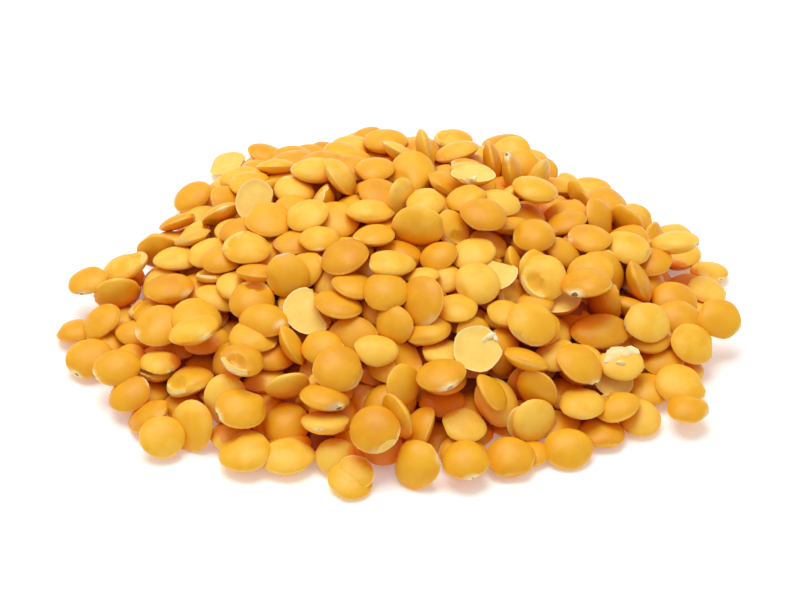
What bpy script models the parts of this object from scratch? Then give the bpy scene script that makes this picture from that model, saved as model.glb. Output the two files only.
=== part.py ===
"""A loose heap of dry husked yellow lentils, lying on a flat surface.

The heap is one solid: a plain mound inside, with every lentil that shows fused onto it at its true
size. The lentils are poured one after another by a rule: each is dropped where the heap is still
too low, then nudged until it has sunk as far as its neighbours let it. A few lentils that catch the
eye, round the edge and on the front slope, are set by hand after the rest.

Units are metres, +Z is up, +X runs along the heap's long side and -Y is its front. The origin is on
the surface, under the middle of the heap.
"""

import math

import bmesh
import bpy
import numpy as np

MM = 0.001

# The heap
HEAP_HEIGHT = 13.0 * MM
EDGE_LAYER = 2.0 * MM
CREST_POWER = 2.0
# Distance from the middle to the heap's edge, every 15 degrees, anticlockwise from +X
EDGE_RADII = np.array(
    [36.0, 35.5, 31.5, 31.5, 32.0, 32.0, 32.0, 31.0, 32.0, 31.5, 30.5, 31.0]
    + [36.0, 37.0, 36.0, 35.0, 32.0, 29.5, 31.5, 31.0, 33.0, 33.0, 35.0, 36.5]
) * MM

# One lentil
LENTIL_ACROSS = 5.15 * MM
ACROSS_SPREAD = 0.4 * MM
LEAST_ACROSS = 4.2 * MM
MOST_ACROSS = 6.0 * MM
OVAL_SPREAD = 0.045
THICKNESS_SHARE = 0.43
THICKNESS_SPREAD = 0.03
SPLIT_THICKNESS = 0.62
SPLIT_CHANCE = 0.05
FACE_POWER = 0.7

# How they are poured
SEED = 20
FIELD_HALF = 48 * MM
CELL = 0.25 * MM
PLACES_TRIED = 30
MISSES_ALLOWED = 90
LEAST_ROOM = 0.2 * MM
MOST_PROUD = 0.7 * MM
TRIES = 12
SETTLE_ROUNDS = 22
SETTLE_MOVE = 0.55 * MM
SETTLE_LEAN = 0.12
START_LEAN = 0.42
PROPPED_CHANCE = 0.18
PROPPED_LEAN = 0.9
ROUNDING = 6
# How far a lentil presses into those it lies on
BITE = 0.25 * MM
BITE_BY_HAND = 0.6 * MM

# Lentils set by hand, as (x and y of the middle in mm, breadth in mm, lean of the face in degrees,
# heading it leans towards in degrees, with 270 at the front, kind)
ROUND_THE_EDGE = (
    (-27, -26.5, 5.0, 25, 270, "whole"),
    (-31.5, -16, 5.2, 25, 270, "whole"),
    (-35, -11.5, 5.3, 5, 270, "whole"),
    (-37, -6, 4.9, 5, 90, "whole"),
    (-36.5, -0.5, 4.5, 20, 250, "whole"),
    (-25, 19, 4.8, 5, 270, "whole"),
    (-21, 27, 5.0, 10, 120, "split"),
    (-10.5, 32, 4.4, 15, 170, "split"),
    (13, 33, 5.3, 15, 90, "whole"),
    (31.5, 11.5, 4.5, 5, 270, "whole"),
    (36, 5.5, 4.5, 10, 60, "whole"),
    (36.5, -8, 5.1, 30, 270, "whole"),
    (30.5, -16.5, 5.8, 10, 315, "whole"),
    (31, -21, 4.8, 10, 90, "whole"),
    (18, -27, 5.3, 30, 270, "whole"),
    (11.5, -28.5, 5.3, 20, 270, "whole"),
    (6.5, -30, 5.2, 5, 270, "whole"),
    (-6, -33, 5.0, 15, 270, "split"),
    (-17, -28, 5.8, 5, 270, "whole"),
)
ON_THE_SLOPE = (
    (-3, -28.5, 5.6, 20, 270, "whole"),
    (-17.5, -24, 5.6, 5, 270, "whole"),
    (-8.5, -25.5, 5.2, 30, 90, "whole"),
    (-8.5, -23.5, 5.5, 25, 65, "whole"),
    (-7, -21, 5.7, 20, 325, "whole"),
    (-17.5, -19, 4.9, 20, 10, "whole"),
    (-27, -11, 5.7, 15, 270, "whole"),
    (-23, -10.5, 5.8, 5, 270, "whole"),
    (-23, -14.5, 5.6, 30, 140, "whole"),
    (-34, -6.5, 5.0, 45, 195, "whole"),
    (32, -11.5, 5.3, 20, 290, "whole"),
    (19, -18, 5.7, 30, 15, "whole"),
    (24, -16, 5.0, 20, 270, "split"),
    (14, -15, 5.5, 25, 270, "whole"),
    (8, -18, 5.6, 15, 270, "split"),
    (4, -22, 5.6, 20, 90, "whole"),
    (9.5, -23, 4.6, 60, 10, "whole"),
    (8, -10, 5.3, 30, 270, "whole"),
    (15.5, -7.5, 5.5, 40, 270, "whole"),
    (-2, -12, 5.2, 25, 270, "whole"),
    (-13, -7.5, 5.0, 50, 270, "whole"),
    (-1.5, -8, 5.5, 30, 90, "whole"),
    (20, -9, 5.6, 20, 140, "whole"),
    (9, 0.5, 5.3, 5, 90, "whole"),
    (15, 8, 5.5, 10, 90, "whole"),
    (8, 8.5, 5.3, 5, 90, "split"),
    (31, 4, 5.7, 20, 135, "whole"),
)
SET_BY_HAND = ROUND_THE_EDGE + ON_THE_SLOPE
HAND_OVAL = 1.03
HAND_ROUNDS = 4
HAND_MOVE = 0.05 * MM
HAND_LEAN = 0.05
# How far a lentil set by hand laps over its neighbour, and how its place is kept free for it
LAP = 0.9 * MM
RESERVED_SHARE = 0.72
RESERVED_DEPTH = 2.4 * MM
MOST_COVERED = 2.0 * MM**2

# The solid
SHOWING_AREA = 5.0 * MM**2
RIM_SIDES = 7
CAP_SIDES = 3
CAP_SHARE = 0.6
CAP_RISE = 0.92
FUSE_GROWTH = 1.08
FLOOR_GAP = 0.03 * MM
CORE_SINK = 0.2 * MM
CORE_INSET = 2.6 * MM
CORE_WALL = 0.9 * MM
CORE_REACH = 2.0 * MM
CORE_LOW = 30
CORE_SPOKES = 24
CORE_RINGS = (1.0, 0.84, 0.66, 0.47, 0.25)

LENTIL_COLOUR = (0.78, 0.36, 0.045, 1.0)
LENTIL_ROUGHNESS = 0.5


def edge_radius(angle):
    """Distance from the middle to the heap's edge, in the direction of angle."""
    count = len(EDGE_RADII)
    place = np.asarray(angle) / math.tau * count % count
    before = np.floor(place).astype(int) % count
    share = place - np.floor(place)
    share = share * share * (3 - 2 * share)
    return EDGE_RADII[before] * (1 - share) + EDGE_RADII[(before + 1) % count] * share


def mound(x, y):
    """Height that the heap should have at x and y, and less than nothing outside its edge."""
    share = np.hypot(x, y) / edge_radius(np.arctan2(y, x))
    crest = EDGE_LAYER + (HEAP_HEIGHT - EDGE_LAYER) * (1 - np.minimum(share, 1) ** CREST_POWER)
    return np.where(share < 1, crest, -HEAP_HEIGHT)


def mound_normal(x, y):
    """Direction that the mound's side faces at x and y."""
    step = 2 * MM
    toward = 1 - step / max(math.hypot(x, y), 2 * step)
    drop = float(mound(x * toward, y * toward) - mound(x * toward * toward, y * toward * toward))
    slope = -drop / (step * toward)
    outward = np.array([x, y]) / max(math.hypot(x, y), MM)
    return unit(np.array([*(outward * slope), 1.0]))


def unit(vectors):
    return vectors / np.linalg.norm(vectors, axis=-1, keepdims=True)


def turned(normals, spin):
    """For each normal, the matrix that turns a lentil lying flat so that its face looks along it."""
    side = unit(np.cross([0.0, 1.0, 0.0], normals))
    other = np.cross(normals, side)
    first = side * math.cos(spin) + other * math.sin(spin)
    return np.stack([first, np.cross(normals, first), normals], axis=-1)


def lens_points(rings, spokes):
    """Points all over a lentil of unit radius and unit half thickness."""
    radius, angle = np.meshgrid(
        np.linspace(0.04, 1.0, rings), np.linspace(0.0, math.tau, spokes, endpoint=False)
    )
    rise = (1 - radius**2) ** FACE_POWER
    face = np.stack([radius * np.cos(angle), radius * np.sin(angle), rise], axis=-1).reshape(-1, 3)
    return np.concatenate([face, face * (1, 1, -1)])


class Heap:
    """The lentils laid so far, with the height of their tops on a fine square field."""

    def __init__(self):
        cells = round(2 * FIELD_HALF / CELL)
        self.random = np.random.default_rng(SEED)
        self.height = np.zeros((cells, cells))
        self.owner = np.full((cells, cells), -1)
        self.reserved = np.zeros((cells, cells), bool)
        self.probe = lens_points(rings=7, spokes=22)
        self.surface = lens_points(rings=24, spokes=76)
        self.lentils = []

    def cell(self, distance):
        """Index in the field of a distance from the middle."""
        place = ((distance + FIELD_HALF) / CELL).astype(int)
        return np.clip(place, 0, len(self.height) - 1)

    def resting_heights(self, x, y, turns, half, bite):
        """Height of the middle at which a lentil, in each pose, first touches what is below."""
        points = np.einsum("kij,nj->kni", turns, self.probe * half)
        across = self.cell(points[..., 0] + x[:, None])
        along = self.cell(points[..., 1] + y[:, None])
        below = np.maximum(self.height[across, along] - bite, 0.0)
        return (below - points[..., 2]).max(axis=1)

    def settled(self, x, y, normal, spin, half, rounds, move, lean, bite):
        """The pose found by nudging a lentil, each time keeping the nudge that sinks it most."""
        start = turned(normal[None], spin)
        best = self.resting_heights(np.array([x]), np.array([y]), start, half, bite)[0]
        for number in range(rounds):
            calm = 1 - 0.8 * number / rounds
            tried_x = x + self.random.normal(0, move * calm, TRIES)
            tried_y = y + self.random.normal(0, move * calm, TRIES)
            tried = normal + self.random.normal(0, lean * calm, (TRIES, 3))
            tried[:, 2] = np.abs(tried[:, 2]) + 0.02
            tried = unit(tried)
            heights = self.resting_heights(tried_x, tried_y, turned(tried, spin), half, bite)
            lowest = int(heights.argmin())
            if heights[lowest] < best - 1e-6:
                best = heights[lowest]
                x, y, normal = tried_x[lowest], tried_y[lowest], tried[lowest]
        return float(x), float(y), float(best), normal

    def tops(self, at, turn, half):
        """The corner of the part of the field under a lentil, and the height of its top there."""
        points = (self.surface * half) @ turn.T + at
        across, along = self.cell(points[:, 0]), self.cell(points[:, 1])
        corner = across.min(), along.min()
        shape = across.max() - corner[0] + 1, along.max() - corner[1] + 1
        top = np.full(shape, -np.inf)
        np.maximum.at(top, (across - corner[0], along - corner[1]), points[:, 2])
        return slice(corner[0], corner[0] + shape[0]), slice(corner[1], corner[1] + shape[1]), top

    def lay(self, at, normal, spin, half, kind):
        """Leaves a lentil where it is and raises the field to its top."""
        at = np.round(at, ROUNDING)
        turn = turned(normal[None], spin)[0]
        across, along, top = self.tops(at, turn, half)
        higher = top > self.height[across, along]
        self.height[across, along][higher] = top[higher]
        self.owner[across, along][higher] = len(self.lentils)
        self.lentils.append({"at": at, "turn": turn, "half": half, "kind": kind})

    def new_half_sizes(self, kind):
        """Half the length, breadth and thickness of a lentil drawn at random."""
        across = self.random.normal(LENTIL_ACROSS, ACROSS_SPREAD)
        across = min(max(across, LEAST_ACROSS), MOST_ACROSS)
        oval = 1 + abs(self.random.normal(0, OVAL_SPREAD))
        thick = across * self.random.normal(THICKNESS_SHARE, THICKNESS_SPREAD)
        if kind == "split":
            thick *= SPLIT_THICKNESS
        return np.array([across * oval, across / oval, thick]) / 2

    def reserve(self, x, y, radius):
        """Keeps the poured lentils off the place of one that is set by hand."""
        cells = (np.arange(len(self.height)) + 0.5) * CELL - FIELD_HALF
        self.reserved |= np.hypot(cells[:, None] - x, cells[None, :] - y) < radius

    def pour(self):
        """Drops lentils where the heap is lowest, until it is full all over."""
        misses = 0
        while misses < MISSES_ALLOWED:
            misses += 1
            angle = self.random.uniform(0, math.tau, PLACES_TRIED)
            radius = edge_radius(angle) * np.sqrt(self.random.uniform(0, 1, PLACES_TRIED))
            x, y = radius * np.cos(angle), radius * np.sin(angle)
            spare = RESERVED_DEPTH * self.reserved[self.cell(x), self.cell(y)]
            room = mound(x, y) - spare - self.height[self.cell(x), self.cell(y)]
            place = int(room.argmax())
            if room[place] < LEAST_ROOM:
                continue
            kind = "split" if self.random.uniform() < SPLIT_CHANCE else "whole"
            half = self.new_half_sizes(kind)
            propped = self.random.uniform() < PROPPED_CHANCE
            start = mound_normal(x[place], y[place])
            start = start + self.random.normal(0, PROPPED_LEAN if propped else START_LEAN, 3)
            start[2] = abs(start[2])
            spin = self.random.uniform(0, math.tau)
            rounds = SETTLE_ROUNDS // 3 if propped else SETTLE_ROUNDS
            *at, normal = self.settled(
                x[place], y[place], unit(start), spin, half, rounds, SETTLE_MOVE, SETTLE_LEAN, BITE
            )
            if at[2] > mound(at[0], at[1]) + MOST_PROUD or self.covers_reserved(at, normal, spin, half):
                continue
            misses = 0
            self.lay(at, normal, spin, half, kind)

    def covers_reserved(self, at, normal, spin, half):
        across, along, top = self.tops(np.array(at), turned(normal[None], spin)[0], half)
        above = top > mound(at[0], at[1]) - RESERVED_DEPTH / 2
        return (above & self.reserved[across, along]).sum() * CELL**2 > MOST_COVERED

    def alone(self, x, y, radius):
        """Whether a lentil at x and y would lie on the bare surface, clear of all the others."""
        cells = (np.arange(len(self.height)) + 0.5) * CELL - FIELD_HALF
        under = np.hypot(cells[:, None] - x, cells[None, :] - y) < radius - LAP
        return not self.height[under].any()

    def set_by_hand(self, x, y, breadth, lean, heading, kind):
        """Lays a lentil at a chosen place and lean, moved in until it meets the others."""
        thick = breadth * THICKNESS_SHARE * (SPLIT_THICKNESS if kind == "split" else 1)
        half = np.array([breadth * HAND_OVAL, breadth / HAND_OVAL, thick]) / 2
        lean, heading = math.radians(lean), math.radians(heading)
        face = np.array(
            [math.sin(lean) * math.cos(heading), math.sin(lean) * math.sin(heading), math.cos(lean)]
        )
        spin = self.random.uniform(0, math.tau)
        while self.alone(x, y, breadth / 2):
            inward = CELL / math.hypot(x, y)
            x, y = x - x * inward, y - y * inward
        *at, normal = self.settled(
            x, y, face, spin, half, HAND_ROUNDS, HAND_MOVE, HAND_LEAN, BITE_BY_HAND
        )
        self.lay(at, normal, spin, half, kind)

    def showing(self):
        """Area of each lentil that can be seen from above."""
        counts = np.bincount(self.owner[self.owner >= 0], minlength=len(self.lentils))
        return counts * CELL**2


def poured_heap():
    """The whole heap: what is poured, then what is set by hand."""
    heap = Heap()
    for x, y, breadth, *_ in SET_BY_HAND:
        heap.reserve(x * MM, y * MM, RESERVED_SHARE * breadth / 2 * MM)
    heap.pour()
    for x, y, breadth, lean, heading, kind in SET_BY_HAND:
        heap.set_by_hand(x * MM, y * MM, breadth * MM, lean, heading, kind)
    return heap


def middle_of(heap):
    """The middle of the heap's outline, seen from above."""
    reach = []
    for lentil in heap.lentils:
        points = (heap.surface * lentil["half"]) @ lentil["turn"].T + lentil["at"]
        reach += [points.min(axis=0), points.max(axis=0)]
    middle = (np.min(reach, axis=0) + np.max(reach, axis=0)) / 2
    return np.array([middle[0], middle[1], 0.0])


def mesh_object(name, points, collection):
    """The closed shape that a tight skin over the points makes."""
    shape = bmesh.new()
    corners = [shape.verts.new(point) for point in points]
    bmesh.ops.convex_hull(shape, input=corners)
    return object_from(name, shape, collection)


def object_from(name, shape, collection):
    mesh = bpy.data.meshes.new(name)
    shape.to_mesh(mesh)
    shape.free()
    made = bpy.data.objects.new(name, mesh)
    collection.objects.link(made)
    return made


def ring(sides, radius, rise, start):
    angles = start + np.arange(sides) * math.tau / sides
    return [(radius * math.cos(a), radius * math.sin(a), rise) for a in angles]


def plain_lentil(number, lentil, middle, collection):
    """A lentil with few sides: a seven-sided rim with a small triangle above and below."""
    step = math.pi / RIM_SIDES
    unit_points = np.array(
        ring(RIM_SIDES, 1.0, 0.0, 0.0)
        + ring(CAP_SIDES, CAP_SHARE, CAP_RISE, step)
        + ring(CAP_SIDES, CAP_SHARE, -CAP_RISE, step)
    )
    points = (unit_points * lentil["half"] * FUSE_GROWTH) @ lentil["turn"].T + lentil["at"] - middle
    points[:, 2] += max(0.0, FLOOR_GAP - points[:, 2].min())
    return mesh_object(f"lentil_{number:03d}", points, collection)


def height_inside(heap, x, y):
    """Height of the core at x and y: a little under the lentils that lie round there."""
    near = np.linspace(-CORE_REACH, CORE_REACH, round(2 * CORE_REACH / CELL) + 1)
    tops = heap.height[np.ix_(heap.cell(x + near), heap.cell(y + near))]
    return max(float(np.percentile(tops, CORE_LOW)) - CORE_SINK, CORE_WALL)


def core(heap, middle, collection):
    """The mound inside: rings of points that follow the heap a little below its surface."""
    shape = bmesh.new()
    angles = np.arange(CORE_SPOKES) * math.tau / CORE_SPOKES
    reach = edge_radius(angles) - CORE_INSET
    rings = []
    for share in CORE_RINGS:
        spots = np.stack([np.cos(angles), np.sin(angles)], axis=-1) * (reach * share)[:, None]
        points = [np.array([x, y, height_inside(heap, x, y)]) - middle for x, y in spots]
        rings.append([shape.verts.new(point) for point in points])
    foot = [shape.verts.new((corner.co.x, corner.co.y, 0.0)) for corner in rings[0]]
    crown = shape.verts.new(np.array([0.0, 0.0, height_inside(heap, 0.0, 0.0)]) - middle)
    shape.faces.new(reversed(foot))
    for outer, inner in zip([foot, *rings], rings):
        for here in range(CORE_SPOKES):
            after = (here + 1) % CORE_SPOKES
            shape.faces.new((outer[here], outer[after], inner[after], inner[here]))
    for here in range(CORE_SPOKES):
        shape.faces.new((rings[-1][here], rings[-1][(here + 1) % CORE_SPOKES], crown))
    bmesh.ops.triangulate(shape, faces=shape.faces)
    return object_from("lentil_heap", shape, collection)


def keep_largest_shell(made):
    """Leaves out the skin of any hollow that the join sealed, and any scrap that hangs free."""
    shape = bmesh.new()
    shape.from_mesh(made.data)
    left, shells = set(shape.verts), []
    while left:
        shell, edge = set(), [left.pop()]
        while edge:
            corner = edge.pop()
            shell.add(corner)
            for link in corner.link_edges:
                other = link.other_vert(corner)
                if other in left:
                    left.discard(other)
                    edge.append(other)
        shells.append(shell)
    largest = max(shells, key=len)
    bmesh.ops.delete(shape, geom=[v for v in shape.verts if v not in largest], context="VERTS")
    shape.to_mesh(made.data)
    shape.free()


def fused_heap():
    """The core with every lentil that shows joined onto it."""
    heap = poured_heap()
    middle = middle_of(heap)
    scene = bpy.context.scene.collection
    pieces = bpy.data.collections.new("lentils_to_join")
    scene.children.link(pieces)
    made = core(heap, middle, scene)
    for number in np.flatnonzero(heap.showing() > SHOWING_AREA):
        plain_lentil(number, heap.lentils[number], middle, pieces)
    join = made.modifiers.new("join", "BOOLEAN")
    join.operation = "UNION"
    join.operand_type = "COLLECTION"
    join.collection = pieces
    join.solver = "MANIFOLD"
    bpy.context.view_layer.objects.active = made
    bpy.ops.object.modifier_apply(modifier=join.name)
    for piece in list(pieces.objects):
        bpy.data.objects.remove(piece)
    bpy.data.collections.remove(pieces)
    keep_largest_shell(made)
    return made


def lentil_material():
    material = bpy.data.materials.new("dry_lentil")
    material.use_nodes = True
    finish = material.node_tree.nodes["Principled BSDF"]
    finish.inputs["Base Color"].default_value = LENTIL_COLOUR
    finish.inputs["Roughness"].default_value = LENTIL_ROUGHNESS
    return material


def main():
    for old in list(bpy.data.objects):
        bpy.data.objects.remove(old)
    made = fused_heap()
    made.data.materials.clear()
    made.data.materials.append(lentil_material())


main()
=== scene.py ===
# %% [markdown]
# # A heap of dry husked lentils
#
# Husked yellow lentils are small discs, about 5 mm across and 2 mm thick, with a satin and faintly
# waxy skin. Tipped out on a table they make a low, uneven heap with a few strays round its edge.
# The heap is made in four steps here: the lentils are poured by a rule, a few master lentils are
# modelled one by one, every master is copied to its places, and the finishes are made with nodes.

# %% The imported model
import math

import bmesh
import bpy
import numpy as np
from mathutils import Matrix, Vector


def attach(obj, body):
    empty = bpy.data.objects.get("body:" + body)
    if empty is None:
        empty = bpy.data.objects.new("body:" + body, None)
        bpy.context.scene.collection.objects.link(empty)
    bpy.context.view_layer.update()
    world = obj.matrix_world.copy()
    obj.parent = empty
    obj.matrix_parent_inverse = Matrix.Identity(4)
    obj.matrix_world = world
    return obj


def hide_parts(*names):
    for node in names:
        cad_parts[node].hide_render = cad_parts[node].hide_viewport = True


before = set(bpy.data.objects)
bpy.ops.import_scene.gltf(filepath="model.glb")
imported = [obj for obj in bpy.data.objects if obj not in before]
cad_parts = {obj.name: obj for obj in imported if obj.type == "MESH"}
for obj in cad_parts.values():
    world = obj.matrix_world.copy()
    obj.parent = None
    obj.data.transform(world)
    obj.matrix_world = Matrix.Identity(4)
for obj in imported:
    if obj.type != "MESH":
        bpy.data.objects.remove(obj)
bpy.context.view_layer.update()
HEAP_NODE = "lentil_heap"
MM = 0.001
print("CAD nodes:", sorted(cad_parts))

# %% [markdown]
# ## The outline of the heap
#
# Seen from above the heap is a rounded, slightly lopsided patch. Its edge is given as a distance
# from the middle for every 15 degrees, and a smooth step fills in between. The height that the heap
# should have falls from the crest to one layer of lentils at the edge. This is the same heap as the
# solid that it replaces, so the numbers are the same too.

# %% Edge and mound
HEAP_HEIGHT = 13.0 * MM
EDGE_LAYER = 2.0 * MM
CREST_POWER = 2.0
EDGE_RADII = np.array(
    [36.0, 35.5, 31.5, 31.5, 32.0, 32.0, 32.0, 31.0, 32.0, 31.5, 30.5, 31.0]
    + [36.0, 37.0, 36.0, 35.0, 32.0, 29.5, 31.5, 31.0, 33.0, 33.0, 35.0, 36.5]
) * MM


def edge_radius(angle):
    """Distance from the middle to the heap's edge, in the direction of angle."""
    count = len(EDGE_RADII)
    place = np.asarray(angle) / math.tau * count % count
    before = np.floor(place).astype(int) % count
    share = place - np.floor(place)
    share = share * share * (3 - 2 * share)
    return EDGE_RADII[before] * (1 - share) + EDGE_RADII[(before + 1) % count] * share


def mound(x, y):
    """Height that the heap should have at x and y, and less than nothing outside its edge."""
    share = np.hypot(x, y) / edge_radius(np.arctan2(y, x))
    crest = EDGE_LAYER + (HEAP_HEIGHT - EDGE_LAYER) * (1 - np.minimum(share, 1) ** CREST_POWER)
    return np.where(share < 1, crest, -HEAP_HEIGHT)


print("the heap reaches", EDGE_RADII.min() / MM, "to", EDGE_RADII.max() / MM, "mm from its middle")

# %% [markdown]
# A lentil's pose is the direction its face looks in, and a spin round that direction. On a slope
# the lentils lie like shingles, so a new one starts out facing the way the mound's side faces.

# %% Poses
SLOPE_STEP = 2 * MM


def unit(vectors):
    return vectors / np.linalg.norm(vectors, axis=-1, keepdims=True)


def turned(normals, spin):
    """For each normal, the matrix that turns a flat lentil to face along it."""
    side = unit(np.cross([0.0, 1.0, 0.0], normals))
    other = np.cross(normals, side)
    first = side * math.cos(spin) + other * math.sin(spin)
    return np.stack([first, np.cross(normals, first), normals], axis=-1)


def mound_normal(x, y):
    """Direction that the mound's side faces at x and y."""
    toward = 1 - SLOPE_STEP / max(math.hypot(x, y), 2 * SLOPE_STEP)
    drop = float(mound(x * toward, y * toward) - mound(x * toward * toward, y * toward * toward))
    slope = -drop / (SLOPE_STEP * toward)
    outward = np.array([x, y]) / max(math.hypot(x, y), MM)
    return unit(np.array([*(outward * slope), 1.0]))


print("the front slope faces", mound_normal(0.0, -20 * MM).round(2))

# %% [markdown]
# ## Pouring
#
# A physics simulation of hundreds of loose bodies is slow and never quite the same twice. A height
# field is quick and exact: a fine square grid holds the height of the heap so far. A new lentil
# comes down where most room is left, and is nudged a number of times. Each time the nudge that
# lets it sink deepest is kept, as when real lentils settle into the hollows between the others.

# %% The height field
SEED = 20
FIELD_HALF = 48 * MM
CELL = 0.25 * MM
FACE_POWER = 0.7
INNERMOST = 0.04
CELLS = round(2 * FIELD_HALF / CELL)

chance = np.random.default_rng(SEED)
height = np.zeros((CELLS, CELLS))
owner = np.full((CELLS, CELLS), -1)
reserved = np.zeros((CELLS, CELLS), bool)
cell_middles = (np.arange(CELLS) + 0.5) * CELL - FIELD_HALF
lentils = []


def cell(distance):
    """Index in the field of a distance from the middle."""
    return np.clip(((distance + FIELD_HALF) / CELL).astype(int), 0, CELLS - 1)


def lens_points(rings, spokes):
    """Points all over a lentil of unit radius and unit half thickness."""
    radius, angle = np.meshgrid(
        np.linspace(INNERMOST, 1.0, rings), np.linspace(0.0, math.tau, spokes, endpoint=False)
    )
    rise = (1 - radius**2) ** FACE_POWER
    face = np.stack([radius * np.cos(angle), radius * np.sin(angle), rise], axis=-1).reshape(-1, 3)
    return np.concatenate([face, face * (1, 1, -1)])


probe = lens_points(rings=7, spokes=22)
surface = lens_points(rings=24, spokes=76)
print("the field has", CELLS, "cells each way, and a lentil is felt at", len(probe), "points")

# %% Settling
TRIES = 12
BITE = 0.25 * MM
CALMING = 0.8
LEAST_RISE = 0.02
LEAST_GAIN = 1e-6


def resting_heights(x, y, turns, half, bite):
    """Height of the middle at which a lentil, in each pose, first touches what is below."""
    points = np.einsum("kij,nj->kni", turns, probe * half)
    across = cell(points[..., 0] + x[:, None])
    along = cell(points[..., 1] + y[:, None])
    below = np.maximum(height[across, along] - bite, 0.0)
    return (below - points[..., 2]).max(axis=1)


def settled(x, y, normal, spin, half, rounds, move, lean, bite):
    """The pose found by nudging a lentil, each time keeping the nudge that sinks it most."""
    best = resting_heights(np.array([x]), np.array([y]), turned(normal[None], spin), half, bite)[0]
    for number in range(rounds):
        calm = 1 - CALMING * number / rounds
        tried_x = x + chance.normal(0, move * calm, TRIES)
        tried_y = y + chance.normal(0, move * calm, TRIES)
        tried = normal + chance.normal(0, lean * calm, (TRIES, 3))
        tried[:, 2] = np.abs(tried[:, 2]) + LEAST_RISE
        tried = unit(tried)
        heights = resting_heights(tried_x, tried_y, turned(tried, spin), half, bite)
        lowest = int(heights.argmin())
        if heights[lowest] < best - LEAST_GAIN:
            best = heights[lowest]
            x, y, normal = tried_x[lowest], tried_y[lowest], tried[lowest]
    return float(x), float(y), float(best), normal


print("each nudge tries", TRIES, "poses")

# %% Laying a lentil down
ROUNDING = 6


def tops(at, turn, half):
    """The part of the field under a lentil, and the height of its top there."""
    points = (surface * half) @ turn.T + at
    across, along = cell(points[:, 0]), cell(points[:, 1])
    corner = across.min(), along.min()
    shape = across.max() - corner[0] + 1, along.max() - corner[1] + 1
    top = np.full(shape, -np.inf)
    np.maximum.at(top, (across - corner[0], along - corner[1]), points[:, 2])
    return slice(corner[0], corner[0] + shape[0]), slice(corner[1], corner[1] + shape[1]), top


def lay(at, normal, spin, half, kind):
    """Leaves a lentil where it is and raises the field to its top."""
    at = np.round(at, ROUNDING)
    turn = turned(normal[None], spin)[0]
    across, along, top = tops(at, turn, half)
    higher = top > height[across, along]
    height[across, along][higher] = top[higher]
    owner[across, along][higher] = len(lentils)
    lentils.append({"at": at, "turn": turn, "half": half, "kind": kind})


print("places are rounded to", 10.0**-ROUNDING / MM, "mm")

# %% [markdown]
# ## The lentils that catch the eye
#
# In a heap that is seen from the front, the eye stops at the strays round the edge and at the
# lentils on the front slope. Those are given one by one and set after the rest: the place of the
# middle, the breadth, how far the face leans, and which way. Their places are kept free while the
# rest is poured.

# %% Lentils set one by one
# x, y and breadth in mm, lean and heading in degrees with 270 at the front, kind, and the heading
# of its beak, chip or other mark
ROUND_THE_EDGE = (
    (-27, -26.5, 5.0, 25, 270, "plump", 300),
    (-31.5, -16, 5.2, 25, 270, "plump", 200),
    (-35, -11.5, 5.3, 5, 270, "plump", 230),
    (-37, -6, 4.9, 5, 90, "plump", 180),
    (-36.5, -0.5, 4.5, 20, 250, "flat", 250),
    (-25, 19, 4.8, 5, 270, "plump", 180),
    (-21, 27, 5.0, 10, 120, "split", 90),
    (-10.5, 32, 4.4, 15, 170, "split", 90),
    (13, 33, 5.3, 15, 90, "plump", 60),
    (31.5, 11.5, 4.5, 5, 270, "plump", 0),
    (36, 5.5, 4.5, 10, 60, "plump", 300),
    (36.5, -8, 5.1, 30, 270, "plump", 330),
    (30.5, -16.5, 5.8, 10, 315, "plump", 320),
    (31, -21, 4.8, 10, 90, "beaked", 330),
    (18, -27, 5.3, 30, 270, "plump", 120),
    (11.5, -28.5, 5.3, 20, 270, "plump", 190),
    (6.5, -30, 5.2, 5, 270, "beaked", 280),
    (-6, -33, 5.0, 15, 270, "cracked", 50),
    (-17, -28, 5.8, 5, 270, "beaked", 90),
)
ON_THE_SLOPE = (
    (-3, -28.5, 5.6, 20, 270, "chipped", 290),
    (-17.5, -24, 5.6, 5, 270, "plump", 200),
    (-8.5, -25.5, 5.2, 30, 90, "plump", 250),
    (-8.5, -23.5, 5.5, 25, 65, "beaked", 300),
    (-7, -21, 5.7, 20, 325, "chipped", 320),
    (-17.5, -19, 4.9, 20, 10, "dimpled", 240),
    (-27, -11, 5.7, 15, 270, "plump", 200),
    (-23, -10.5, 5.8, 5, 270, "plump", 300),
    (-23, -14.5, 5.6, 30, 140, "beaked", 300),
    (-34, -6.5, 5.0, 45, 195, "flat", 60),
    (32, -11.5, 5.3, 20, 290, "chipped", 350),
    (19, -18, 5.7, 30, 15, "beaked", 310),
    (24, -16, 5.0, 20, 270, "crumbled", 100),
    (14, -15, 5.5, 25, 270, "chipped", 225),
    (8, -18, 5.6, 15, 270, "peeled", 20),
    (4, -22, 5.6, 20, 90, "beaked", 285),
    (9.5, -23, 4.6, 60, 10, "flat", 90),
    (8, -10, 5.3, 30, 270, "plump", 20),
    (15.5, -7.5, 5.5, 40, 270, "dimpled", 225),
    (-2, -12, 5.2, 25, 270, "chipped", 60),
    (-13, -7.5, 5.0, 50, 270, "plump", 110),
    (-1.5, -8, 5.5, 30, 90, "plump", 200),
    (20, -9, 5.6, 20, 140, "beaked", 230),
    (9, 0.5, 5.3, 5, 90, "plump", 30),
    (15, 8, 5.5, 10, 90, "plump", 330),
    (8, 8.5, 5.3, 5, 90, "peeled", 240),
    (31, 4, 5.7, 20, 135, "beaked", 320),
)
SET_BY_HAND = ROUND_THE_EDGE + ON_THE_SLOPE
HALF_LENTILS = ("split", "peeled", "crumbled", "cracked")
print(len(SET_BY_HAND), "lentils are set by hand")

# %% Keeping their places free
RESERVED_SHARE = 0.72


def away_from(x, y):
    """Distance of every cell of the field from a place."""
    return np.hypot(cell_middles[:, None] - x, cell_middles[None, :] - y)


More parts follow.
